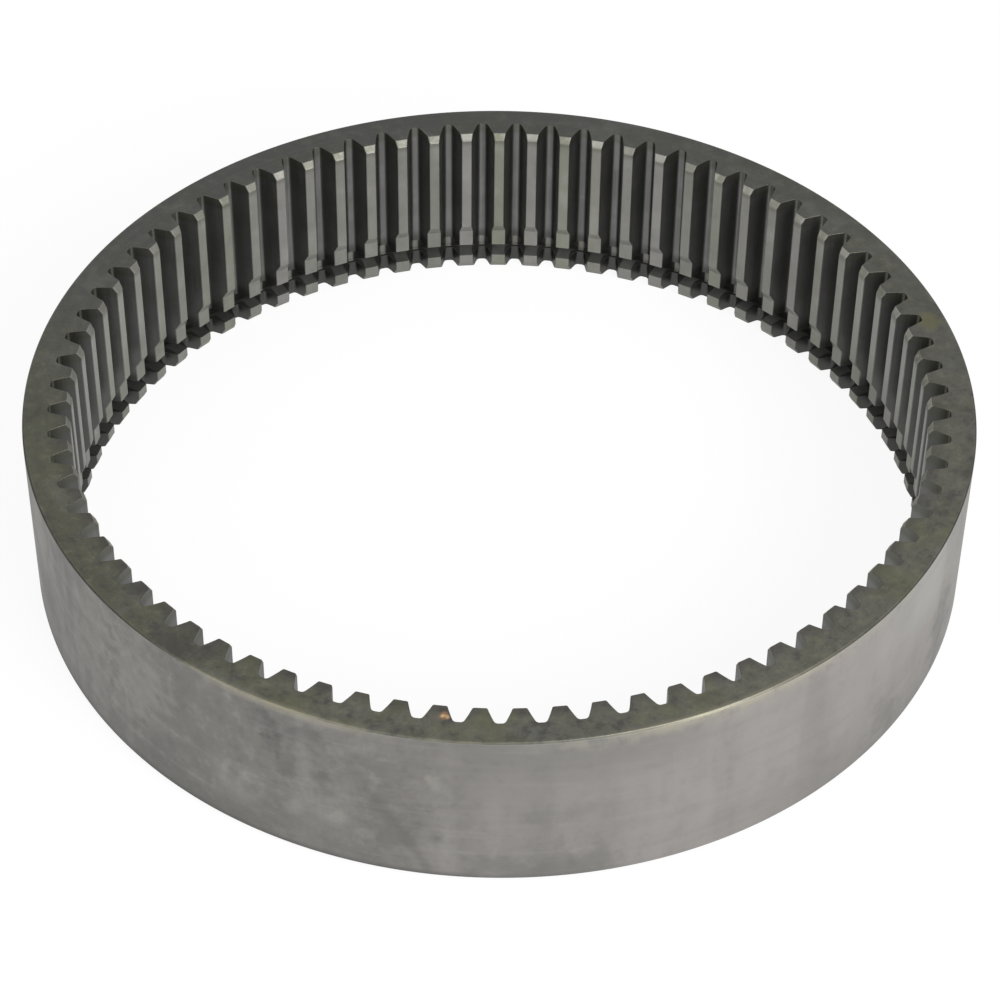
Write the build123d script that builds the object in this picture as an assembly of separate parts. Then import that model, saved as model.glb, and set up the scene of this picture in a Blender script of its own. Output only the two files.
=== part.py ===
from build123d import *
from math import acos, cos, pi, radians, sin, tan
import os

# Internal ring gear of a planetary hub reduction: one turned ring with full-length
# internal spur teeth. Over its lowest part the tooth tips are bored out for the toothed
# carrier that holds the ring, and a groove cut across the teeth takes its retaining ring.
#
# Millimetres and degrees, +Z up. The ring stands on the end with the groove, and the
# origin is on its axis, on the face that it stands on.

# Teeth
TEETH = 75
MODULE = 3.5
PRESSURE_ANGLE = 20.0
ADDENDUM_FACTOR = 0.75  # of the module; stub tips, which clear the planets' flanks
DEDENDUM_FACTOR = 1.2  # of the module
TOOTH_THINNING = 0.5  # off each tooth on the pitch circle, which gives the mesh its backlash
ROOT_CHAMFER = 0.6  # off each root corner, in place of the small radius that the cutter leaves

# Ring
HEIGHT = 57.5
RIM_THICKNESS = 7.55  # metal outside the tooth roots
TOP_EDGE_CHAMFER = 1.2
BOTTOM_EDGE_CHAMFER = 2.0

# Bore, across the tooth tips
LEAD_ANGLE = 30.0  # of every conical cut on the tips, from the axis
TOP_LEAD_LENGTH = 2.2
BOTTOM_LEAD_LENGTH = 2.5
RELIEF_LENGTH = 16.2  # from the standing face
RELIEF_DEPTH = 1.9  # off the tooth tips

# Retaining ring groove
GROOVE_WIDTH = 4.5
GROOVE_TO_END = 5.7  # from the standing face to the groove's near side
GROOVE_UNDERCUT = 1.0  # below the tooth roots

CUTTER_OVERRUN = 1.0  # how far the tooth cutter passes each face and the bore

# Sizes that follow
pitch_radius = TEETH * MODULE / 2
base_radius = pitch_radius * cos(radians(PRESSURE_ANGLE))
tip_radius = pitch_radius - ADDENDUM_FACTOR * MODULE
root_radius = pitch_radius + DEDENDUM_FACTOR * MODULE
outside_radius = root_radius + RIM_THICKNESS
relief_radius = tip_radius + RELIEF_DEPTH
groove_radius = root_radius + GROOVE_UNDERCUT
groove_top = GROOVE_TO_END + GROOVE_WIDTH
lead_slope = tan(radians(LEAD_ANGLE))


def involute(angle):
    """The involute function of an angle in radians."""
    return tan(angle) - angle


def half_space_angle(radius):
    """Half of the angle that one tooth space takes up at a radius, in radians."""
    on_pitch_circle = pi / (2 * TEETH) + TOOTH_THINNING / (2 * pitch_radius)
    flank_angle = acos(min(1, base_radius / radius))
    return on_pitch_circle + involute(radians(PRESSURE_ANGLE)) - involute(flank_angle)


def polar_point(radius, angle):
    """The point at a radius and an angle in radians."""
    return (radius * cos(angle), radius * sin(angle))


def turned_blank():
    """The ring as it comes off the lathe, before its teeth are cut."""
    section = [
        (outside_radius - BOTTOM_EDGE_CHAMFER, 0),
        (outside_radius, BOTTOM_EDGE_CHAMFER),
        (outside_radius, HEIGHT - TOP_EDGE_CHAMFER),
        (outside_radius - TOP_EDGE_CHAMFER, HEIGHT),
        (tip_radius + TOP_LEAD_LENGTH * lead_slope, HEIGHT),
        (tip_radius, HEIGHT - TOP_LEAD_LENGTH),
        (tip_radius, RELIEF_LENGTH + RELIEF_DEPTH / lead_slope),
        (relief_radius, RELIEF_LENGTH),
        (relief_radius, groove_top),
        (groove_radius, groove_top),
        (groove_radius, GROOVE_TO_END),
        (relief_radius, GROOVE_TO_END),
        (relief_radius, BOTTOM_LEAD_LENGTH),
        (relief_radius + BOTTOM_LEAD_LENGTH * lead_slope, 0),
    ]
    profile = make_face(Plane.XZ * Polyline(*section, close=True))
    return revolve(profile, Axis.Z)


def tooth_space():
    """The cutter's outline for one tooth space, centred on +X, from the open bore to the root."""
    # A flank is the arc through its involute's ends and middle, which lies on the involute
    # to within 5 micrometres.
    middle_radius = (tip_radius + root_radius) / 2
    radii = [tip_radius, middle_radius, root_radius]
    flank = ThreePointArc(*[polar_point(r, half_space_angle(r)) for r in radii])
    other_flank = mirror(flank, Plane.XZ)
    root = Line(flank @ 1, other_flank @ 1)

    # The mouth lies in the open bore, where the cutter meets no metal.
    mouth_corner = polar_point(tip_radius - CUTTER_OVERRUN, half_space_angle(tip_radius))
    side = Line(flank @ 0, mouth_corner)
    other_side = mirror(side, Plane.XZ)
    mouth = Line(mouth_corner, other_side @ 1)
    outline = make_face([flank, root, other_flank, side, other_side, mouth])

    # Each corner leaves at least half of its side of the root.
    half_root = root_radius * half_space_angle(root_radius)
    root_corners = outline.vertices().sort_by(Axis.X)[-2:]
    return chamfer(root_corners, min(ROOT_CHAMFER, half_root / 2))


def ring_gear():
    """The turned ring with all its tooth spaces cut through it."""
    cutter = extrude(tooth_space(), HEIGHT + 2 * CUTTER_OVERRUN)
    cutters = [Pos(0, 0, -CUTTER_OVERRUN) * place * cutter for place in PolarLocations(0, TEETH)]
    return turned_blank() - cutters


os.makedirs("parts", exist_ok=True)
export_step(ring_gear(), "parts/ring_gear.step")
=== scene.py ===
from math import cos, pi, radians, sin, tan

import bpy
from mathutils import Matrix, Vector


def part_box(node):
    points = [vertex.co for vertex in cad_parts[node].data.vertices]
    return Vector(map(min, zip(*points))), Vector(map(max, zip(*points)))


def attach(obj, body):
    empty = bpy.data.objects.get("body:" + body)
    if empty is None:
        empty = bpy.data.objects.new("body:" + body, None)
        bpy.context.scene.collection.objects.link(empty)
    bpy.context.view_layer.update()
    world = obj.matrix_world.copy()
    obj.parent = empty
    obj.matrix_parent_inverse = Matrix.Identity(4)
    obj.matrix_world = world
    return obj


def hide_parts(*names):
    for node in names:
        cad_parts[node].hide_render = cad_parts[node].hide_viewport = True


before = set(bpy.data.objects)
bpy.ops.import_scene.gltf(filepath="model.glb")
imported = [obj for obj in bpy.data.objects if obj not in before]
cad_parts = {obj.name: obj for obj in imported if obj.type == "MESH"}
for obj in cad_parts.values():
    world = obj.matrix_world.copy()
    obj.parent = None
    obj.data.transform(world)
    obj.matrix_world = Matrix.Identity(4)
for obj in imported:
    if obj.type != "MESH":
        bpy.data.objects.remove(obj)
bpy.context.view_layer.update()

# An internal ring gear of oiled steel: a turned ring with teeth cut through its bore.
# Metres, +Z up. The ring stands on the floor at z = 0, on its axis.

MM = 0.001
_, high_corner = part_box("ring_gear")
HEIGHT = high_corner.z
OUTSIDE_RADIUS = high_corner.x

TEETH = 75
PITCH_RADIUS = 131.25 * MM
PRESSURE_ANGLE = radians(20)
TOOTH_THINNING = 0.5 * MM
ROOT_RADIUS = 135.45 * MM
TIP_RADIUS = 128.625 * MM
ROOT_BLEND = 0.85 * MM  # how far each root corner's rounding reaches
TIP_BLEND = 0.45 * MM  # the same on the edges of the tooth tips
EDGE_BREAK = 0.08 * MM  # off the edges where teeth meet a turned face

LEAD_SLOPE = tan(radians(30))
TOP_LEAD_LENGTH = 2.2 * MM
BOTTOM_LEAD_LENGTH = 2.5 * MM
RELIEF_RADIUS = 130.525 * MM
RELIEF_LENGTH = 16.2 * MM
GROOVE_RADIUS = 136.45 * MM
GROOVE_LOW = 5.7 * MM
GROOVE_TOP = 10.2 * MM
GROOVE_CORNER = 0.3 * MM
TOP_EDGE_CHAMFER = 0.6 * MM
BOTTOM_EDGE_CHAMFER = 2.0 * MM
CHAMFER_EDGE = 0.15 * MM  # rounding at each side of an outer chamfer

# Faces along half a pitch, from the middle of a tooth space to the middle of a tooth
ROOT_FACES = 2
ROOT_BLEND_FACES = 5
FLANK_FACES = 6
TIP_BLEND_FACES = 4
TIP_FACES = 2
HALF_PITCH_FACES = ROOT_FACES + ROOT_BLEND_FACES + FLANK_FACES + TIP_BLEND_FACES + TIP_FACES

SEAM_WELD = 0.002 * MM  # between one pitch of the ring and the next
SHARP_EDGE = radians(25)  # an edge that turns by more stays sharp
OUTSIDE_TOLERANCE = 0.05 * MM  # how near to the outside a face counts as on it
END_TOLERANCE = 0.01 * MM  # the same for the end faces


class Number:
    """A number that flows through a node tree. Arithmetic on it adds Math nodes."""

    def __init__(self, nodes, socket):
        self.nodes = nodes
        self.socket = socket

    def __add__(self, other):
        return self.nodes.math("ADD", self, other)

    def __radd__(self, other):
        return self.nodes.math("ADD", other, self)

    def __sub__(self, other):
        return self.nodes.math("SUBTRACT", self, other)

    def __rsub__(self, other):
        return self.nodes.math("SUBTRACT", other, self)

    def __mul__(self, other):
        return self.nodes.math("MULTIPLY", self, other)

    def __rmul__(self, other):
        return self.nodes.math("MULTIPLY", other, self)

    def __truediv__(self, other):
        return self.nodes.math("DIVIDE", self, other)

    def __rtruediv__(self, other):
        return self.nodes.math("DIVIDE", other, self)

    def __pow__(self, other):
        return self.nodes.math("POWER", self, other)

    def __gt__(self, other):
        return self.nodes.math("GREATER_THAN", self, other)

    def __lt__(self, other):
        return self.nodes.math("LESS_THAN", self, other)


class Nodes:
    """Writes the nodes of one tree."""

    def __init__(self, tree):
        self.tree = tree

    def add(self, kind, settings=None, inputs=None, output=0):
        """Adds a node of a kind with its settings, then its sockets' values or links.
        Returns one of its outputs, by name or number, as a Number."""
        node = self.tree.nodes.new(kind)
        for name, value in (settings or {}).items():
            setattr(node, name, value)
        for name, value in (inputs or {}).items():
            socket = self.pick(node.inputs, name)
            if isinstance(value, Number):
                self.tree.links.new(value.socket, socket)
            else:
                socket.default_value = value
        return Number(self, self.pick(node.outputs, output)) if len(node.outputs) else None

    def pick(self, sockets, name):
        """The socket with a number, or the one in use with a name."""
        if isinstance(name, int):
            return sockets[name]
        return next(s for s in sockets if s.name == name and s.enabled)

    def math(self, operation, *terms):
        return self.add("ShaderNodeMath", {"operation": operation}, dict(enumerate(terms)))

    def absolute(self, value):
        return self.math("ABSOLUTE", value)

    def clamp(self, value):
        return self.add("ShaderNodeClamp", inputs={"Value": value})

    def combine(self, x, y, z):
        return self.add("ShaderNodeCombineXYZ", inputs={"X": x, "Y": y, "Z": z})

    def separate(self, vector):
        return [self.add("ShaderNodeSeparateXYZ", inputs={"Vector": vector}, output=i) for i in range(3)]


# ---------------------------------------------------------------- the ring's shape


def chamfered_edge(face, inward, chamfer):
    """The points of one outer chamfer with rounded sides, from the end face to the outside."""
    steps = [(chamfer + CHAMFER_EDGE, 0), (chamfer - CHAMFER_EDGE / 2, CHAMFER_EDGE / 2)]
    steps += [(across, along) for along, across in steps[::-1]]
    return [(OUTSIDE_RADIUS - back, face + inward * up, 0, 0) for back, up in steps]


def turned_section():
    """The ring's turned section as (radius, height, toothed, edge break), from the top of
    the bore down it and back up the outside. A toothed point is where the tooth tips lie."""
    top_lead = TIP_RADIUS + TOP_LEAD_LENGTH * LEAD_SLOPE
    bottom_lead = RELIEF_RADIUS + BOTTOM_LEAD_LENGTH * LEAD_SLOPE
    relief_top = RELIEF_LENGTH + (RELIEF_RADIUS - TIP_RADIUS) / LEAD_SLOPE
    bore = [
        (top_lead, HEIGHT, 1, EDGE_BREAK),
        (top_lead - EDGE_BREAK * LEAD_SLOPE, HEIGHT - EDGE_BREAK, 1, 0),
        (TIP_RADIUS, HEIGHT - TOP_LEAD_LENGTH, 1, 0),
        (TIP_RADIUS, relief_top, 1, 0),
        (RELIEF_RADIUS, RELIEF_LENGTH, 1, 0),
        (RELIEF_RADIUS, GROOVE_TOP, 1, 0),
        (GROOVE_RADIUS - GROOVE_CORNER, GROOVE_TOP, 0, 0),
        (GROOVE_RADIUS, GROOVE_TOP - GROOVE_CORNER, 0, 0),
        (GROOVE_RADIUS, GROOVE_LOW + GROOVE_CORNER, 0, 0),
        (GROOVE_RADIUS - GROOVE_CORNER, GROOVE_LOW, 0, 0),
        (RELIEF_RADIUS, GROOVE_LOW, 1, EDGE_BREAK),
        (RELIEF_RADIUS, GROOVE_LOW - EDGE_BREAK, 1, 0),
        (RELIEF_RADIUS, BOTTOM_LEAD_LENGTH, 1, 0),
        (bottom_lead - EDGE_BREAK * LEAD_SLOPE, EDGE_BREAK, 1, 0),
        (bottom_lead, 0, 1, EDGE_BREAK),
    ]
    bottom_edge = chamfered_edge(0, 1, BOTTOM_EDGE_CHAMFER)
    top_edge = chamfered_edge(HEIGHT, -1, TOP_EDGE_CHAMFER)
    return bore + bottom_edge + top_edge[::-1] + bore[:1]


def section_object():
    """The turned section as a mesh, one vertex a point, with its marks as attributes."""
    points = turned_section()
    mesh = bpy.data.meshes.new("ring_section")
    mesh.from_pydata([(radius, 0, height) for radius, height, _, _ in points], [], [])
    for name, column in (("toothed", 2), ("edge_break", 3)):
        marks = mesh.attributes.new(name, "FLOAT", "POINT")
        marks.data.foreach_set("value", [point[column] for point in points])
    ring = bpy.data.objects.new("ring_gear_dressed", mesh)
    bpy.context.scene.collection.objects.link(ring)
    return ring, len(points)


def ring_tree(section_points, face_material, outside_material, tooth_material):
    """Cuts the turned section with one pitch of teeth and repeats it round the axis."""
    tree = bpy.data.node_groups.new("ring_with_internal_teeth", "GeometryNodeTree")
    tree.interface.new_socket("Geometry", in_out="OUTPUT", socket_type="NodeSocketGeometry")
    tree.interface.new_socket("Section", in_out="INPUT", socket_type="NodeSocketGeometry")
    sizes = {
        "Teeth": TEETH,
        "Pitch Radius": PITCH_RADIUS,
        "Pressure Angle": PRESSURE_ANGLE,
        "Tooth Thinning": TOOTH_THINNING,
        "Root Radius": ROOT_RADIUS,
        "Tip Radius": TIP_RADIUS,
        "Root Blend": ROOT_BLEND,
        "Tip Blend": TIP_BLEND,
    }
    for name, size in sizes.items():
        kind = "NodeSocketInt" if isinstance(size, int) else "NodeSocketFloat"
        tree.interface.new_socket(name, in_out="INPUT", socket_type=kind).default_value = size

    nodes = Nodes(tree)
    entry = tree.nodes.new("NodeGroupInput")
    given = {socket.name: Number(nodes, socket) for socket in entry.outputs if socket.name}
    teeth, pitch_radius, pressure_angle = given["Teeth"], given["Pitch Radius"], given["Pressure Angle"]
    root_radius, root_blend, tip_blend = given["Root Radius"], given["Root Blend"], given["Tip Blend"]

    # One grid: its columns cross one pitch, from tooth middle to tooth middle, and its rows
    # follow the section.
    rows = section_points - 1
    grid = nodes.add(
        "GeometryNodeMeshGrid",
        inputs={
            "Size X": 2.0 * HALF_PITCH_FACES,
            "Size Y": float(rows),
            "Vertices X": 2 * HALF_PITCH_FACES + 1,
            "Vertices Y": rows + 1,
        },
    )
    column, row_from_middle, _ = nodes.separate(nodes.add("GeometryNodeInputPosition"))
    row = nodes.math("ROUND", row_from_middle + rows / 2)
    side = nodes.math("SIGN", column)
    step = nodes.absolute(column)

    def section_value(kind, value):
        return nodes.add(
            "GeometryNodeSampleIndex",
            {"data_type": kind, "domain": "POINT"},
            {"Geometry": given["Section"], "Value": value, "Index": row},
        )

    def mark(name):
        settings = {"data_type": "FLOAT"}
        attribute = nodes.add("GeometryNodeInputNamedAttribute", settings, {"Name": name}, "Attribute")
        return section_value("FLOAT", attribute)

    section_point = section_value("FLOAT_VECTOR", nodes.add("GeometryNodeInputPosition"))
    section_radius, _, height = nodes.separate(section_point)
    toothed = mark("toothed")
    edge_break = mark("edge_break")

    # The tooth space's outline in polar terms, for this row's tip radius
    base_radius = pitch_radius * nodes.math("COSINE", pressure_angle)

    def involute(angle):
        return nodes.math("TANGENT", angle) - angle

    def space_angle(radius):
        """Half of the angle that the tooth space takes up at a radius."""
        at_pitch = pi / 2 / teeth + given["Tooth Thinning"] / 2 / pitch_radius
        flank = nodes.math("ARCCOSINE", base_radius / radius)
        return at_pitch + involute(pressure_angle) - involute(flank) + edge_break / base_radius

    def bend(start, corner, end, share):
        """A point on the curve from start to end that is drawn towards the corner."""
        rest = 1 - share
        return start * rest * rest + corner * (2 * rest * share) + end * share * share

    # How far each stretch of the outline has run at this column, from 0 to 1
    shares = []
    first = 0
    for count in (ROOT_FACES, ROOT_BLEND_FACES, FLANK_FACES, TIP_BLEND_FACES, TIP_FACES):
        shares.append(nodes.clamp((step - first) / count))
        first += count
    on_root, on_root_blend, on_flank, on_tip_blend, on_tip = shares

    tip = given["Tip Radius"] + (section_radius - given["Tip Radius"]) * toothed + edge_break
    root = root_radius + edge_break
    flank_outer = root - root_blend
    flank_inner = tip + tip_blend
    flank_radius = flank_outer + (flank_inner - flank_outer) * on_flank
    root_round = root_blend * (1 - on_root_blend * on_root_blend)
    tip_round = tip_blend * (1 - (1 - on_tip_blend) ** 2)
    outline_radius = flank_radius + root_round - tip_round

    root_corner = space_angle(root)
    root_start = root_corner - root_blend / root
    tip_corner = space_angle(tip)
    tip_start = tip_corner + tip_blend / tip
    outline_angle = (
        root_start * on_root
        + (bend(root_start, root_corner, space_angle(flank_outer), on_root_blend) - root_start)
        + (space_angle(flank_radius) - space_angle(flank_outer))
        + (bend(space_angle(flank_inner), tip_corner, tip_start, on_tip_blend) - space_angle(flank_inner))
        + (pi / teeth - tip_start) * on_tip
    )

    radius = section_radius + (outline_radius - section_radius) * toothed
    angle = outline_angle * side
    place = nodes.combine(radius * nodes.math("COSINE", angle), radius * nodes.math("SINE", angle), height)
    marked = nodes.add(
        "GeometryNodeStoreNamedAttribute",
        {"data_type": "FLOAT", "domain": "POINT"},
        {"Geometry": grid, "Name": "below_tip", "Value": (outline_radius - tip) * toothed},
    )
    pitch_piece = nodes.add("GeometryNodeSetPosition", inputs={"Geometry": marked, "Position": place})

    # The same piece once for each tooth space, joined into one skin
    stations = nodes.add("GeometryNodePoints", inputs={"Count": teeth})
    turn = nodes.add("GeometryNodeInputIndex") * (2 * pi) / teeth
    ring = nodes.add(
        "GeometryNodeInstanceOnPoints",
        inputs={"Points": stations, "Instance": pitch_piece, "Rotation": nodes.combine(0.0, 0.0, turn)},
    )
    ring = nodes.add("GeometryNodeRealizeInstances", inputs={"Geometry": ring})
    ring = nodes.add("GeometryNodeMergeByDistance", inputs={"Geometry": ring, "Distance": SEAM_WELD})
    ring = nodes.add(
        "GeometryNodeSetShadeSmooth",
        {"domain": "EDGE"},
        {"Geometry": ring, "Shade Smooth": nodes.add("GeometryNodeInputMeshEdgeAngle") < SHARP_EDGE},
    )

    x, y, z = nodes.separate(nodes.add("GeometryNodeInputPosition"))
    from_axis = nodes.math("SQRT", x * x + y * y)
    on_outside = from_axis > OUTSIDE_RADIUS - OUTSIDE_TOLERANCE
    on_end = nodes.absolute(z - HEIGHT / 2) > HEIGHT / 2 - END_TOLERANCE
    on_chamfer = (from_axis > OUTSIDE_RADIUS - BOTTOM_EDGE_CHAMFER) * (1 - on_outside)
    ring = nodes.add("GeometryNodeSetMaterial", inputs={"Geometry": ring, "Material": tooth_material})
    turned_faces = (
        (on_outside, outside_material),
        (nodes.math("MAXIMUM", on_end, on_chamfer), face_material),
    )
    for faces, material in turned_faces:
        ring = nodes.add(
            "GeometryNodeSetMaterial",
            inputs={"Geometry": ring, "Selection": faces, "Material": material},
        )
    leave = tree.nodes.new("NodeGroupOutput")
    tree.links.new(ring.socket, leave.inputs["Geometry"])
    return tree


def make_ring(face_material, outside_material, tooth_material):
    """The whole ring as one plain mesh."""
    ring, section_points = section_object()
    tree = ring_tree(section_points, face_material, outside_material, tooth_material)
    modifier = ring.modifiers.new("teeth", "NODES")
    modifier.node_group = tree
    for item in tree.interface.items_tree:
        if item.in_out == "INPUT" and item.socket_type != "NodeSocketGeometry":
            modifier[item.identifier] = item.default_value
    bpy.context.view_layer.update()
    evaluated = ring.evaluated_get(bpy.context.evaluated_depsgraph_get())
    skin = bpy.data.meshes.new_from_object(evaluated)
    ring.modifiers.remove(modifier)
    ring.data = skin
    return ring


# ---------------------------------------------------------------- finishes
#
# Directions on the ring are in degrees about +Z, from +X. The side that faces the viewer
# is at -90. Colours are red, green and blue, as Blender's linear values.

GLOSS_TINT = (0.6, 0.6, 0.6, 1)  # tones down the steel's gloss where it is seen at a low angle


class Finish(Nodes):
    """A material in the making, with the coordinates of a ring at hand."""

    def __init__(self, name):
        self.material = bpy.data.materials.new(name)
        self.material.use_nodes = True
        super().__init__(self.material.node_tree)
        self.tree.nodes.clear()
        self.place = self.add("ShaderNodeTexCoord", output="Object")
        self.x, self.y, self.z = self.separate(self.place)
        self.radius = self.math("SQRT", self.x * self.x + self.y * self.y)
        self.angle = self.math("ARCTAN2", self.y, self.x)
        self.ragged = self.noise(6 * MM, 4.0, 0.65) - 0.5

    def mix(self, factor, first, second):
        """The first colour turned into the second by a factor. Each is red, green and blue, or
        what another mix gave."""
        first, second = [c if isinstance(c, Number) else (*c, 1) for c in (first, second)]
        inputs = {"Factor": factor, "A": first, "B": second}
        return self.add("ShaderNodeMix", {"data_type": "RGBA"}, inputs, "Result")

    def noise(self, size, detail=2.0, roughness=0.5, distortion=0.0):
        """Noise from 0 to 1, with features about size metres across."""
        return self.noise_at(self.place, 1 / size, detail, roughness, distortion)

    def upright_streaks(self, width, length, detail, roughness=0.6):
        """Noise in streaks along Z."""
        vector = self.combine(self.x / width, self.y / width, self.z / length)
        return self.noise_at(vector, 1.0, detail, roughness)

    def turned_lines(self, coordinate, spacing, length, detail=2.0):
        """Noise in fine lines round the axis, as a lathe tool leaves them. They are spaced along
        a coordinate: the radius on an end face, and Z on the outside."""
        vector = self.combine(coordinate / spacing, self.x / length, self.y / length)
        return self.noise_at(vector, 1.0, detail, 0.6)

    def noise_at(self, vector, scale, detail, roughness, distortion=0.0):
        """Noise from 0 to 1 at a vector that already has its scale, or gets one here."""
        inputs = {
            "Vector": vector,
            "Scale": scale,
            "Detail": detail,
            "Roughness": roughness,
            "Distortion": distortion,
        }
        return self.add("ShaderNodeTexNoise", inputs=inputs)

    def uneven(self, size):
        """A ragged shift either way, which spreads over about size."""
        return self.ragged * size

    def step(self, value, low, high):
        """0 below low and 1 above high, with a smooth way between. Where high is the lower of
        the two, 1 below it and 0 above low."""
        return self.add(
            "ShaderNodeMapRange",
            {"interpolation_type": "SMOOTHSTEP"},
            {"Value": value, "From Min": low, "From Max": high},
        )

    def towards(self, degrees):
        """How far a point lies towards a side of the ring, from -1 to 1."""
        side = radians(degrees)
        return (self.x * cos(side) + self.y * sin(side)) / OUTSIDE_RADIUS

    def facing(self, degrees, low, high):
        """1 on the side of the ring that lies past high towards a direction, 0 before low."""
        return self.step(self.towards(degrees), low, high)

    def smudge(self, degrees, radius, z, size, tall=1.0):
        """1 in a ragged smudge at a place on the ring, about size metres across, which fades
        out round its middle."""
        middle = (radius * cos(radians(degrees)), radius * sin(radians(degrees)), z / tall)
        squeezed = self.combine(self.x, self.y, self.z / tall)
        inputs = {0: squeezed, 1: middle}
        away = self.add("ShaderNodeVectorMath", {"operation": "DISTANCE"}, inputs, "Value")
        return 1 - self.step(away + self.uneven(size * 1.8), size * 0.1, size * 0.65)

    def smudges_on_end(self, places):
        """Smudges on the top face, each as its strength, degrees, and radius and size in mm."""
        total = 0.0
        for strength, degrees, radius, size in places:
            total = self.smudge(degrees, radius * MM, HEIGHT, size * MM) * strength + total
        return self.clamp(total)

    def smudges_on_outside(self, places):
        """Smudges on the outside, each as its strength, degrees, height and size in mm, and how
        many times taller it is than wide."""
        total = 0.0
        for strength, degrees, z, size, tall in places:
            total = self.smudge(degrees, OUTSIDE_RADIUS, z * MM, size * MM, tall) * strength + total
        return self.clamp(total)

    def finish(self, colour, metallic, roughness, height):
        """Ends the material, with a height in metres as its fine relief."""
        bump = {"Strength": 1.0, "Distance": 1.0, "Height": height}
        surface = {
            "Base Color": colour,
            "Metallic": metallic,
            "Roughness": roughness,
            "Specular Tint": GLOSS_TINT,
            "Normal": self.add("ShaderNodeBump", inputs=bump),
        }
        shader = self.add("ShaderNodeBsdfPrincipled", inputs=surface)
        self.add("ShaderNodeOutputMaterial", inputs={"Surface": shader})
        return self.material


def turned_end_face():
    """End faces and outer chamfers: dark oiled steel, turned, with bare worn edges, painted highlights and
    painted shade on the edges, and painted light towards the front.
    """
    f = Finish("turned_end_face")

    # Dark steel, greener on the left, under an uneven film of oil. Towards the front it is painted lighter
    # and browner, a painted gradient of light, and the oil's spots are stronger there
    front = f.step(f.towards(-75) + f.uneven(0.3), -1.1, 0.9)
    colour = f.mix(front, (0.062, 0.064, 0.059), (0.1, 0.0985, 0.081))
    oiled = f.step(f.towards(-150) + f.uneven(0.3), 0.6, 0.95)
    colour = f.mix(oiled * 0.6, colour, (0.074, 0.076, 0.047))
    clouds = f.noise(12 * MM, 4.0, 0.6, distortion=0.5)
    colour = f.mix(f.step(clouds, 0.5, 0.72) * 0.5, colour, (0.11, 0.11, 0.1))
    colour = f.mix(f.step(clouds, 0.5, 0.28) * 0.6, colour, (0.062, 0.063, 0.046))
    oil = f.noise(3.5 * MM, 3.0, 0.6)
    colour = f.mix(f.step(oil, 0.5, 0.72) * (0.2 + front * 0.5), colour, (0.138, 0.133, 0.1))
    colour = f.mix(f.step(oil, 0.5, 0.28) * (0.3 + front * 0.45), colour, (0.048, 0.047, 0.045))
    specks = f.noise(0.9 * MM, 2.0, 0.6)
    colour = f.mix(f.step(specks, 0.45, 0.8) * 0.35, colour, (0.045, 0.046, 0.042))
    grooves = f.turned_lines(f.radius, 0.4 * MM, 150 * MM)
    colour = f.mix(f.step(grooves, 0.45, 0.75) * 0.15, colour, (0.14, 0.143, 0.127))

    # Darker towards the tooth tips, and green where old oil has dried
    by_tips = f.step(134.8 * MM - f.radius + f.uneven(4 * MM), 0.0, 4 * MM) * f.facing(-90, -0.4, 0.5)
    colour = f.mix(by_tips * 0.5, colour, (0.048, 0.043, 0.043))
    dried = f.step(f.noise(16 * MM, 2.0), 0.5, 0.7)
    green = dried * f.step(f.uneven(0.2) - f.towards(90), 0.0, 0.5)
    colour = f.mix(green * 0.45, colour, (0.105, 0.11, 0.058))

    # Stains, and one fleck of rust
    stain = f.smudges_on_end([(0.6, 13.5, 137.5, 9)])
    colour = f.mix(stain, colour, (0.12, 0.115, 0.055))
    dark = f.smudges_on_end(
        [
            (0.8, -97.0, 133.5, 5),
            (0.7, -98.2, 131.5, 4),
            (0.6, -131.0, 139.0, 20),
            (0.5, -141.5, 132.0, 9),
        ]
    )
    colour = f.mix(dark, colour, (0.045, 0.043, 0.043))
    rust = f.smudges_on_end([(0.85, -97.8, 133.5, 3.2)])
    colour = f.mix(rust, colour, (0.27, 0.155, 0.085))
    specks_of_rust = f.smudges_on_end([(1.0, -97.9, 133.7, 1.4), (0.6, -97.3, 133.9, 1.2)])
    colour = f.mix(specks_of_rust, colour, (0.5, 0.35, 0.2))

    # The outer chamfer: bare where it is worn, with painted highlights on it towards -62 and -119, the
    # painted highlight spread just inside it there, and painted shade on it at the left, the right and the
    # front
    back = OUTSIDE_RADIUS - f.radius
    edge = f.step((TOP_EDGE_CHAMFER + 0.05 * MM) - back + f.uneven(0.5 * MM), 0.1 * MM, 0.35 * MM)
    worn = f.step(f.noise(20 * MM, 3.0), 0.4, 0.7) * 0.15
    # Painted highlight on the edge towards -62 and -119, added to its wear
    worn = worn + f.facing(-62, 0.93, 1.0) * 0.12 + f.facing(-119, 0.96, 1.0) * 0.25
    colour = f.mix(edge * worn, colour, (0.3, 0.275, 0.2))
    # Painted highlight spread inward from the edge towards -66 and -116
    painted_highlight_inside_edge = f.facing(-66, 0.955, 0.995) + f.facing(-116, 0.96, 1.0)
    painted_highlight_inside_edge = painted_highlight_inside_edge * (1 - f.step(back + f.uneven(1.5 * MM), 0.4 * MM, 2.4 * MM)) * (1 - edge)
    colour = f.mix(painted_highlight_inside_edge * 0.5, colour, (0.2, 0.186, 0.14))
    # Painted shade on the edge at the left, the right and the front, which also roughens it
    painted_edge_shade = f.facing(-155, 0.86, 0.98) * 0.8 + f.facing(-22, 0.7, 0.95) * 0.75
    painted_edge_shade = painted_edge_shade + f.facing(-84, 0.96, 0.99) * 0.3
    colour = f.mix(edge * painted_edge_shade, colour, (0.032, 0.032, 0.028))

    roughness = 0.45 + (clouds - 0.5) * 0.2 + (grooves - 0.5) * 0.1 + (oil - 0.5) * 0.15 + edge * painted_edge_shade * 0.3
    height = (grooves + specks) * (0.01 * MM)
    return f.finish(colour, metallic=0.7, roughness=roughness, height=height)


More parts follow.
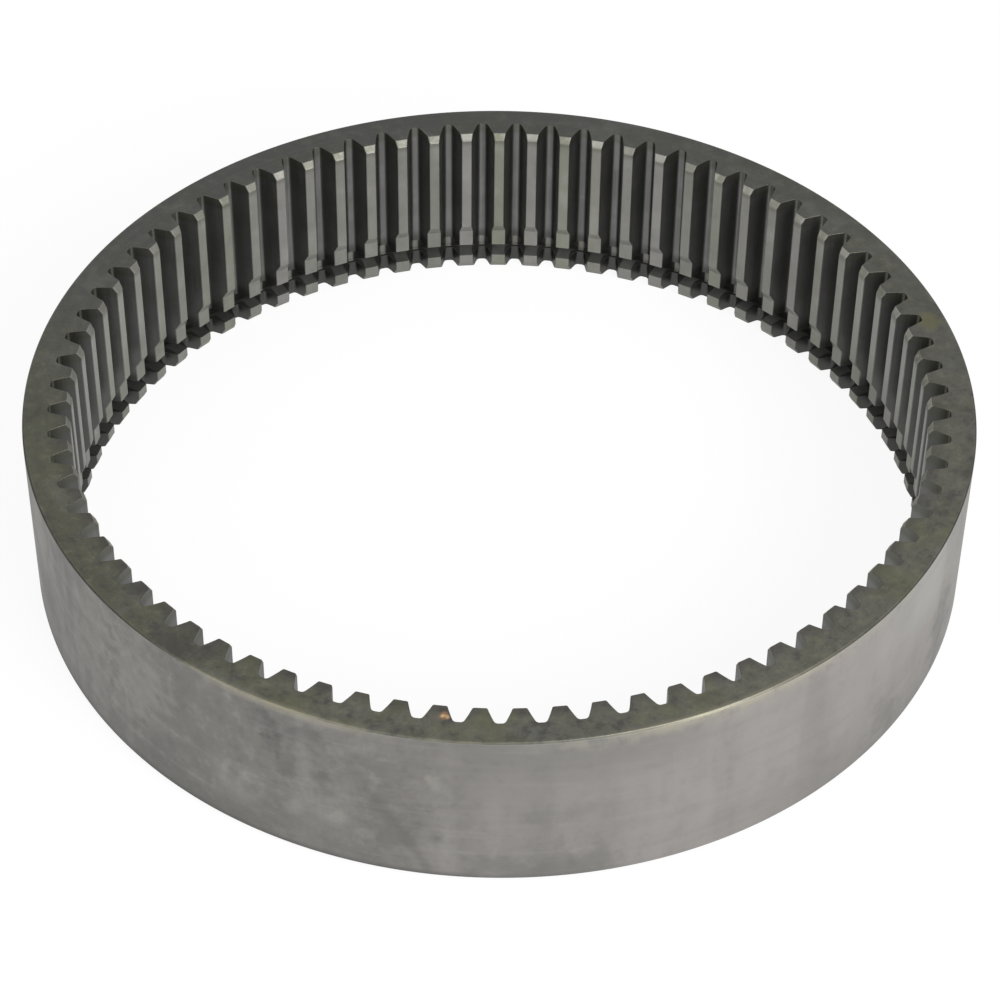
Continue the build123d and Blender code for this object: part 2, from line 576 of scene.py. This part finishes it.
def turned_outside():
    """The outside: mid grey steel with smudges, wipe marks and fine turning lines, painted light on the
    right, painted highlights and painted shade.
    """
    f = Finish("turned_outside")

    # Grey steel, with painted light that makes it brighter on the right, where it is less mottled
    clouds = f.noise(40 * MM, 4.0, 0.6, distortion=0.8)
    # Painted light, brighter towards the right
    painted_light_on_right = f.step(f.towards(-50) + (clouds - 0.5) * 0.5, 0.5, 1.06)
    patchy = 1 - painted_light_on_right * 0.8
    colour = f.mix(painted_light_on_right, (0.167, 0.159, 0.15), (0.268, 0.252, 0.239))
    colour = f.mix(f.step(clouds, 0.5, 0.75) * 0.4, colour, (0.17, 0.162, 0.156))
    blotches = f.noise(12 * MM, 4.0, 0.6, distortion=1.0)
    colour = f.mix(f.step(blotches, 0.52, 0.75) * 0.35 * patchy, colour, (0.27, 0.26, 0.247))
    colour = f.mix(f.step(blotches, 0.48, 0.25) * 0.35 * patchy, colour, (0.12, 0.119, 0.112))
    wipes = f.upright_streaks(12 * MM, 120 * MM, 3.0, 0.55)
    colour = f.mix(f.step(wipes, 0.5, 0.75) * 0.35, colour, (0.3, 0.288, 0.275))
    colour = f.mix(f.step(wipes, 0.5, 0.25) * 0.25, colour, (0.14, 0.139, 0.131))
    mottle = f.noise(4.5 * MM, 3.0, 0.6)
    colour = f.mix(f.step(mottle, 0.5, 0.72) * 0.4 * patchy, colour, (0.25, 0.25, 0.238))
    colour = f.mix(f.step(mottle, 0.5, 0.28) * 0.4 * patchy, colour, (0.115, 0.116, 0.108))

    # Paler places and darker smudges
    pale = f.smudges_on_outside(
        [
            (0.35, -115.0, 18, 9, 0.7),
            (0.2, -109.8, 21, 14, 1.1),
            (0.22, -109.6, 20, 6, 1.0),
            (0.35, -106.2, 15, 5, 1.0),
            (0.35, -98.4, 41, 5, 1.4),
            (0.3, -122.0, 16, 12, 1.5),
            (0.25, -145.0, 45, 20, 2.5),
            (0.35, -161.0, 45, 20, 2.0),
            (0.3, -137.0, 37, 30, 1.5),
        ]
    )
    colour = f.mix(pale, colour, (0.32, 0.308, 0.282))
    dark = f.smudges_on_outside(
        [
            (0.5, -118.3, 49, 8, 1.5),
            (0.5, -117.2, 42, 7, 1.6),
            (0.4, -115.8, 34, 6, 2.0),
            (0.3, -122.0, 7, 30, 0.4),
            (0.3, -133.0, 6, 30, 0.4),
            (0.5, -114.0, 49, 20, 0.6),
            (0.4, -116.5, 24, 9, 1.5),
            (0.45, -161.0, 22, 22, 1.0),
            (0.4, -111.3, 34, 6, 1.0),
            (0.3, -133.7, 15, 16, 1.0),
            (0.3, -103.0, 18, 20, 1.5),
            (0.2, -84.0, 28, 30, 0.25),
            (0.3, -85.0, 6, 50, 0.4),
            (0.45, -25.0, 20, 20, 1.5),
            (0.3, -39.5, 12, 20, 0.7),
        ]
    )
    colour = f.mix(dark, colour, (0.1, 0.101, 0.097))

    # Broad stretches of painted highlight and painted shade
    glint = f.facing(-34, 0.968, 1.0) * 0.4 + f.facing(-31, 0.995, 1.0) * 0.35
    glint = glint * f.step(f.z + (clouds - 0.5) * (20 * MM), 24 * MM, 48 * MM)
    colour = f.mix(glint, colour, (0.335, 0.33, 0.318))
    ragged_z = f.z + f.uneven(10 * MM)
    shaded = (1 - f.step(ragged_z, 3 * MM, 32 * MM)) * f.facing(-38, 0.84, 0.97) * 0.3
    shaded = shaded + f.step(ragged_z, 34 * MM, 52 * MM) * f.facing(-82, 0.95, 0.99) * 0.35
    shaded = shaded + f.facing(-87, 0.96, 0.995) * 0.13
    by_floor = 1 - f.step(f.z + f.uneven(14 * MM), 6 * MM, 23 * MM)
    shaded = shaded + by_floor * f.facing(-122, 0.94, 0.99) * 0.35
    colour = f.mix(shaded, colour, (0.14, 0.138, 0.13))

    # One long curved rub mark, 8.6 degrees long from -107.6, which drops as it runs
    along = (f.angle - radians(-107.6)) / radians(8.6)
    middle = 37 * MM - along * (19 * MM) - along * along * (14 * MM)
    off_rub = f.absolute(f.z - middle + f.uneven(3 * MM))
    rub = (1 - f.step(off_rub, 0.0, 6.5 * MM)) * f.step(along, 0.0, 0.2) * (1 - f.step(along, 0.85, 1.05))
    colour = f.mix(rub * 0.5, colour, (0.11, 0.108, 0.103))

    # Darker by the floor, with a painted line of shade along the bottom edge on the left
    low = 1 - f.step(f.z + f.uneven(12 * MM), 2 * MM, 13 * MM)
    low = low * f.step(f.noise(70 * MM, 1.0) - f.towards(-50) * 0.2, 0.25, 0.6)
    colour = f.mix(low * 0.5, colour, (0.115, 0.116, 0.108))
    # Painted shade along the bottom edge on the left
    painted_shade_rim_line = (1 - f.step(f.z, 2.2 * MM, 4.5 * MM)) * f.step(f.towards(-150) + f.uneven(0.2), 0.3, 0.7)
    colour = f.mix(painted_shade_rim_line * 0.6, colour, (0.07, 0.072, 0.068))

    # Turning: broad streaks, fine lines and grain
    streaks = f.turned_lines(f.z, 3.5 * MM, 50 * MM, 3.0)
    colour = f.mix(f.step(streaks, 0.5, 0.75) * 0.2, colour, (0.29, 0.276, 0.263))
    colour = f.mix(f.step(streaks, 0.5, 0.25) * 0.15, colour, (0.15, 0.146, 0.139))
    lines = f.turned_lines(f.z, 0.3 * MM, 100 * MM)
    colour = f.mix(f.step(lines, 0.5, 0.75) * 0.1 * patchy, colour, (0.3, 0.29, 0.275))
    grain = f.noise(1.2 * MM, 3.0, 0.6)
    colour = f.mix(f.step(grain, 0.5, 0.25) * 0.2 * patchy, colour, (0.13, 0.129, 0.122))

    # A painted highlight just under the top edge, as a pale band, and mottled paler and darker below it
    # towards the front right
    painted_highlight_band = f.step(f.z + f.uneven(1.5 * MM), HEIGHT - 3 * MM, HEIGHT - 1.2 * MM)
    painted_highlight_band = painted_highlight_band * (f.facing(-63, 0.955, 0.995) + f.facing(-115, 0.97, 1.0) * 0.7)
    colour = f.mix(painted_highlight_band * 0.35, colour, (0.4, 0.375, 0.27))
    # Painted highlight spread below the edge, mottled paler and darker
    under_edge = f.step(f.z + f.uneven(6 * MM), HEIGHT - 6 * MM, HEIGHT - 2 * MM) * f.facing(-58, 0.82, 0.96)
    colour = f.mix(under_edge * f.step(mottle, 0.35, 0.7) * 0.4, colour, (0.33, 0.315, 0.24))
    colour = f.mix(under_edge * f.step(mottle, 0.45, 0.3) * 0.4, colour, (0.16, 0.155, 0.13))

    roughness = 0.48 + (clouds - 0.5) * 0.2 + (blotches - 0.5) * 0.15
    height = (lines + grain) * (0.006 * MM)
    return f.finish(colour, metallic=0.65, roughness=roughness, height=height)


def cut_teeth():
    """The bore: dark flanks with cutting marks and painted shade, and tips bored and worn to brighter metal,
    with painted light at the sides of the ring.
    """
    f = Finish("cut_teeth")
    below_tip = f.add("ShaderNodeAttribute", {"attribute_name": "below_tip"}, output="Fac")
    on_tip = 1 - f.step(below_tip, 0.05 * MM, 0.4 * MM)
    clouds = f.noise(12 * MM, 3.0, 0.6)
    strokes = f.upright_streaks(0.5 * MM, 20 * MM, 2.0)

    # Two shades that differ from tooth to tooth
    tooth = f.math("FLOORED_MODULO", f.math("FLOOR", f.angle * (TEETH / 2 / pi)), TEETH)
    one_number = {"noise_dimensions": "1D"}
    varied = f.add("ShaderNodeTexWhiteNoise", one_number, {"W": tooth}, "Value")
    tinted = f.add("ShaderNodeTexWhiteNoise", one_number, {"W": tooth + 0.5}, "Value")

    # Flanks: brushed by the cutter, with painted shade deeper towards the root, and a strip along the root,
    # kept out of that shade, which differs from tooth to tooth
    flank = f.mix(f.step(clouds, 0.3, 0.7), (0.15, 0.152, 0.143), (0.185, 0.183, 0.18))
    flank = f.mix(f.step(strokes, 0.5, 0.8) * 0.35, flank, (0.26, 0.258, 0.25))
    # Painted shade, deeper towards the root
    flank = f.mix(f.step(below_tip, 1.5 * MM, 5.5 * MM) * 0.5, flank, (0.1, 0.102, 0.092))
    across = f.math("PINGPONG", f.angle, pi / TEETH) * ROOT_RADIUS
    root = f.step(f.radius, ROOT_RADIUS - 0.6 * MM, ROOT_RADIUS - 0.1 * MM)
    root = root * (1 - f.step(across, 0.4 * MM, 1.2 * MM))
    flank = f.mix(root, flank, f.mix(tinted, (0.165, 0.166, 0.158), (0.13, 0.128, 0.131)))
    flank = f.mix(root * f.step(clouds, 0.45, 0.7) * 0.5, flank, (0.23, 0.23, 0.226))

    # Painted shade: dark at the sides of the ring, over the groove, under it, and along the top edge
    sideways = f.absolute(f.towards(0))
    aside = f.step(sideways, 0.76, 0.94) * f.facing(90, -0.42, -0.2)
    flank = f.mix(aside * 0.7, flank, (0.045, 0.045, 0.042))
    over_groove = 1 - f.step(f.z, GROOVE_TOP + 1 * MM, GROOVE_TOP + 5 * MM)
    flank = f.mix(over_groove * 0.65, flank, (0.04, 0.04, 0.037))
    under_groove = 1 - f.step(f.z, GROOVE_LOW - 0.2 * MM, GROOVE_LOW)
    flank = f.mix(under_groove * 0.55, flank, (0.06, 0.06, 0.056))
    top_edge = f.step(f.z, HEIGHT - 0.12 * MM, HEIGHT - 0.08 * MM)
    flank = f.mix(top_edge * 0.8, flank, (0.035, 0.035, 0.032))

    # Tips: bored metal, with painted light at the sides of the ring
    tip = f.mix(varied, (0.178, 0.18, 0.158), (0.215, 0.208, 0.2))
    tip = f.mix(f.step(tinted, 0.4, 1.0) * 0.7, tip, (0.195, 0.2, 0.16))
    tip = f.mix(f.step(clouds, 0.5, 0.75) * 0.5, tip, (0.28, 0.28, 0.26))
    tip = f.mix(f.step(clouds, 0.5, 0.25) * 0.5, tip, (0.13, 0.13, 0.11))
    tip = f.mix(f.step(strokes, 0.5, 0.8) * 0.3, tip, (0.26, 0.26, 0.24))
    lit = f.step(sideways, 0.7, 0.85) * f.step(f.z, 12 * MM, 40 * MM)
    tip = f.mix(lit * 0.5, tip, (0.32, 0.32, 0.305))
    colour = f.mix(on_tip, flank, tip)

    # The lead at the top of each tip: bare metal, with painted shade on it towards the far left, and a
    # darker olive band below it
    lead_end = HEIGHT - TOP_LEAD_LENGTH
    lead = on_tip * f.step(f.z, lead_end - 0.1 * MM, lead_end + 0.9 * MM)
    bare = f.mix(tinted, (0.165, 0.163, 0.144), (0.155, 0.158, 0.12))
    bare = f.mix(varied * varied, bare, (0.28, 0.275, 0.247))
    bare = f.mix(f.step(f.noise(2 * MM), 0.45, 0.75) * 0.5, bare, (0.34, 0.335, 0.29))
    # Painted shade on the lead towards the far left
    painted_edge_shade = f.step(f.towards(168) + f.uneven(0.1), 0.62, 0.88)
    bare = f.mix(painted_edge_shade * 0.6, bare, (0.14, 0.14, 0.128))
    colour = f.mix(lead * 0.95, colour, bare)
    below_lead = f.step(f.z, lead_end - 2.5 * MM, lead_end - 0.3 * MM) * (1 - lead)
    colour = f.mix(below_lead * 0.4, colour, (0.07, 0.07, 0.045))

    # The groove: painted shade on its ledges, darker towards the left, black painted shade on its floor, and
    # painted shade in its lower corner
    over_low_side = f.step(f.z, GROOVE_LOW - 0.1 * MM, GROOVE_LOW)
    groove = over_low_side * (1 - f.step(f.z, GROOVE_TOP + 0.01 * MM, GROOVE_TOP + 0.04 * MM))
    ledge = f.mix(f.step(clouds, 0.35, 0.65), (0.085, 0.085, 0.078), (0.125, 0.125, 0.117))
    ledge = f.mix(f.facing(180, 0.35, 0.7) * 0.7, ledge, (0.03, 0.03, 0.028))
    groove_floor = f.step(f.radius, GROOVE_RADIUS - 0.4 * MM, GROOVE_RADIUS - 0.3 * MM) * (1 - root)
    ledge = f.mix(groove_floor, ledge, (0.025, 0.025, 0.023))
    colour = f.mix(groove * (1 - root), colour, ledge)
    # Painted shade in the groove's lower corner, which also roughens it
    corner = f.step(f.z, GROOVE_LOW - 0.2 * MM, GROOVE_LOW - 0.1 * MM)
    corner = corner * (1 - f.step(f.z, GROOVE_LOW + 0.3 * MM, GROOVE_LOW + 0.6 * MM))
    colour = f.mix(corner * (1 - on_tip) * 0.7, colour, (0.03, 0.03, 0.028))

    roughness = 0.36 + (strokes - 0.5) * 0.2 + on_tip * 0.08 + lead * 0.15 + corner * 0.4
    height = strokes * (0.008 * MM)
    return f.finish(colour, metallic=0.92 - on_tip * 0.22, roughness=roughness, height=height)


# ---------------------------------------------------------------- floor, light and camera

FLOOR_REACH = 4.0
FLOOR_PAPER = 0.92  # how white the floor is
FLOOR_GLOW = 0.9  # the share of the floor that is seen as plain white, over its shadow
WORLD_STRENGTH = 0.65

LIGHT_AIM = Vector((0, 0, 0.03))
SOFTBOXES = {
    # Place, width and height in metres, and power in watts
    "key_softbox": ((0.8, -1.1, 0.95), (1.0, 0.8), 30),
    "fill_softbox": ((-1.1, -0.9, 0.8), (0.9, 0.8), 7),
}

# The camera, with lengths as shares of the ring's outside radius
CAMERA_DISTANCE = 6.7986
CAMERA_ELEVATION = 0.7204
CAMERA_TURN = radians(-1.67)
CAMERA_AIM = Vector((0.0031, -0.1286, -0.1889))
CAMERA_ROLL = 0.012
LENS_MM = 116.16
SENSOR_MM = 36


def backdrop_is_seen(nodes):
    """1 for rays that see the backdrop: the camera's own, and those mirrored or let through."""
    names = ("Is Camera Ray", "Is Glossy Ray", "Is Transmission Ray")
    camera, glossy, transmission = [nodes.add("ShaderNodeLightPath", output=name) for name in names]
    return nodes.clamp(camera + glossy + transmission)


def make_floor():
    """A white floor that keeps a faint shadow."""
    mesh = bpy.data.meshes.new("floor")
    far = FLOOR_REACH
    mesh.from_pydata([(-far, -far, 0), (far, -far, 0), (far, far, 0), (-far, far, 0)], [], [(0, 1, 2, 3)])
    floor = bpy.data.objects.new("floor", mesh)
    bpy.context.scene.collection.objects.link(floor)
    material = bpy.data.materials.new("white_floor")
    material.use_nodes = True
    material.node_tree.nodes.clear()
    nodes = Nodes(material.node_tree)
    paper = nodes.add("ShaderNodeBsdfDiffuse", inputs={"Color": (FLOOR_PAPER, FLOOR_PAPER, FLOOR_PAPER, 1)})
    white = nodes.add("ShaderNodeEmission", inputs={"Color": (1, 1, 1, 1), "Strength": 1.0})
    share = backdrop_is_seen(nodes) * FLOOR_GLOW
    shader = nodes.add("ShaderNodeMixShader", inputs={0: share, 1: paper, 2: white})
    nodes.add("ShaderNodeOutputMaterial", inputs={"Surface": shader})
    mesh.materials.append(material)


def make_world():
    """Even light from all round, seen as white."""
    world = bpy.data.worlds.new("studio")
    world.use_nodes = True
    world.node_tree.nodes.clear()
    nodes = Nodes(world.node_tree)
    strength = WORLD_STRENGTH + (1 - WORLD_STRENGTH) * backdrop_is_seen(nodes)
    shader = nodes.add("ShaderNodeBackground", inputs={"Color": (1, 1, 1, 1), "Strength": strength})
    nodes.add("ShaderNodeOutputWorld", inputs={"Surface": shader})
    bpy.context.scene.world = world


def add_softbox(name, place, size, power):
    """A soft rectangular lamp, turned towards the ring."""
    light = bpy.data.lights.new(name, "AREA")
    light.shape = "RECTANGLE"
    light.size, light.size_y = size
    light.energy = power
    lamp = bpy.data.objects.new(name, light)
    lamp.location = place
    lamp.rotation_euler = (LIGHT_AIM - Vector(place)).to_track_quat("-Z", "Y").to_euler()
    bpy.context.scene.collection.objects.link(lamp)


def add_camera():
    """A long lens that looks down on the ring from the front."""
    top_centre = Vector((0, 0, HEIGHT))
    turned = Matrix.Rotation(CAMERA_TURN, 4, "Z")
    distance = CAMERA_DISTANCE * OUTSIDE_RADIUS
    back, height = distance * cos(CAMERA_ELEVATION), distance * sin(CAMERA_ELEVATION)
    place = top_centre + turned @ Vector((0, -back, height))
    aim = top_centre + turned @ (CAMERA_AIM * OUTSIDE_RADIUS)
    forward = (aim - place).normalized()
    level = forward.cross(Vector((0, 0, 1))).normalized()
    upright = level.cross(forward)
    right = level * cos(CAMERA_ROLL) + upright * sin(CAMERA_ROLL)
    up = upright * cos(CAMERA_ROLL) - level * sin(CAMERA_ROLL)
    lens = bpy.data.cameras.new("camera")
    lens.lens = LENS_MM
    lens.sensor_width = SENSOR_MM
    camera = bpy.data.objects.new("camera", lens)
    camera.matrix_world = Matrix((right, up, -forward)).transposed().to_4x4()
    camera.location = place
    bpy.context.scene.collection.objects.link(camera)
    bpy.context.scene.camera = camera


ring = make_ring(turned_end_face(), turned_outside(), cut_teeth())
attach(ring, "root")
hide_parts("ring_gear")

make_floor()
make_world()
for softbox, (place, size, power) in SOFTBOXES.items():
    add_softbox(softbox, place, size, power)
add_camera()
bpy.context.scene.view_settings.view_transform = "Standard"
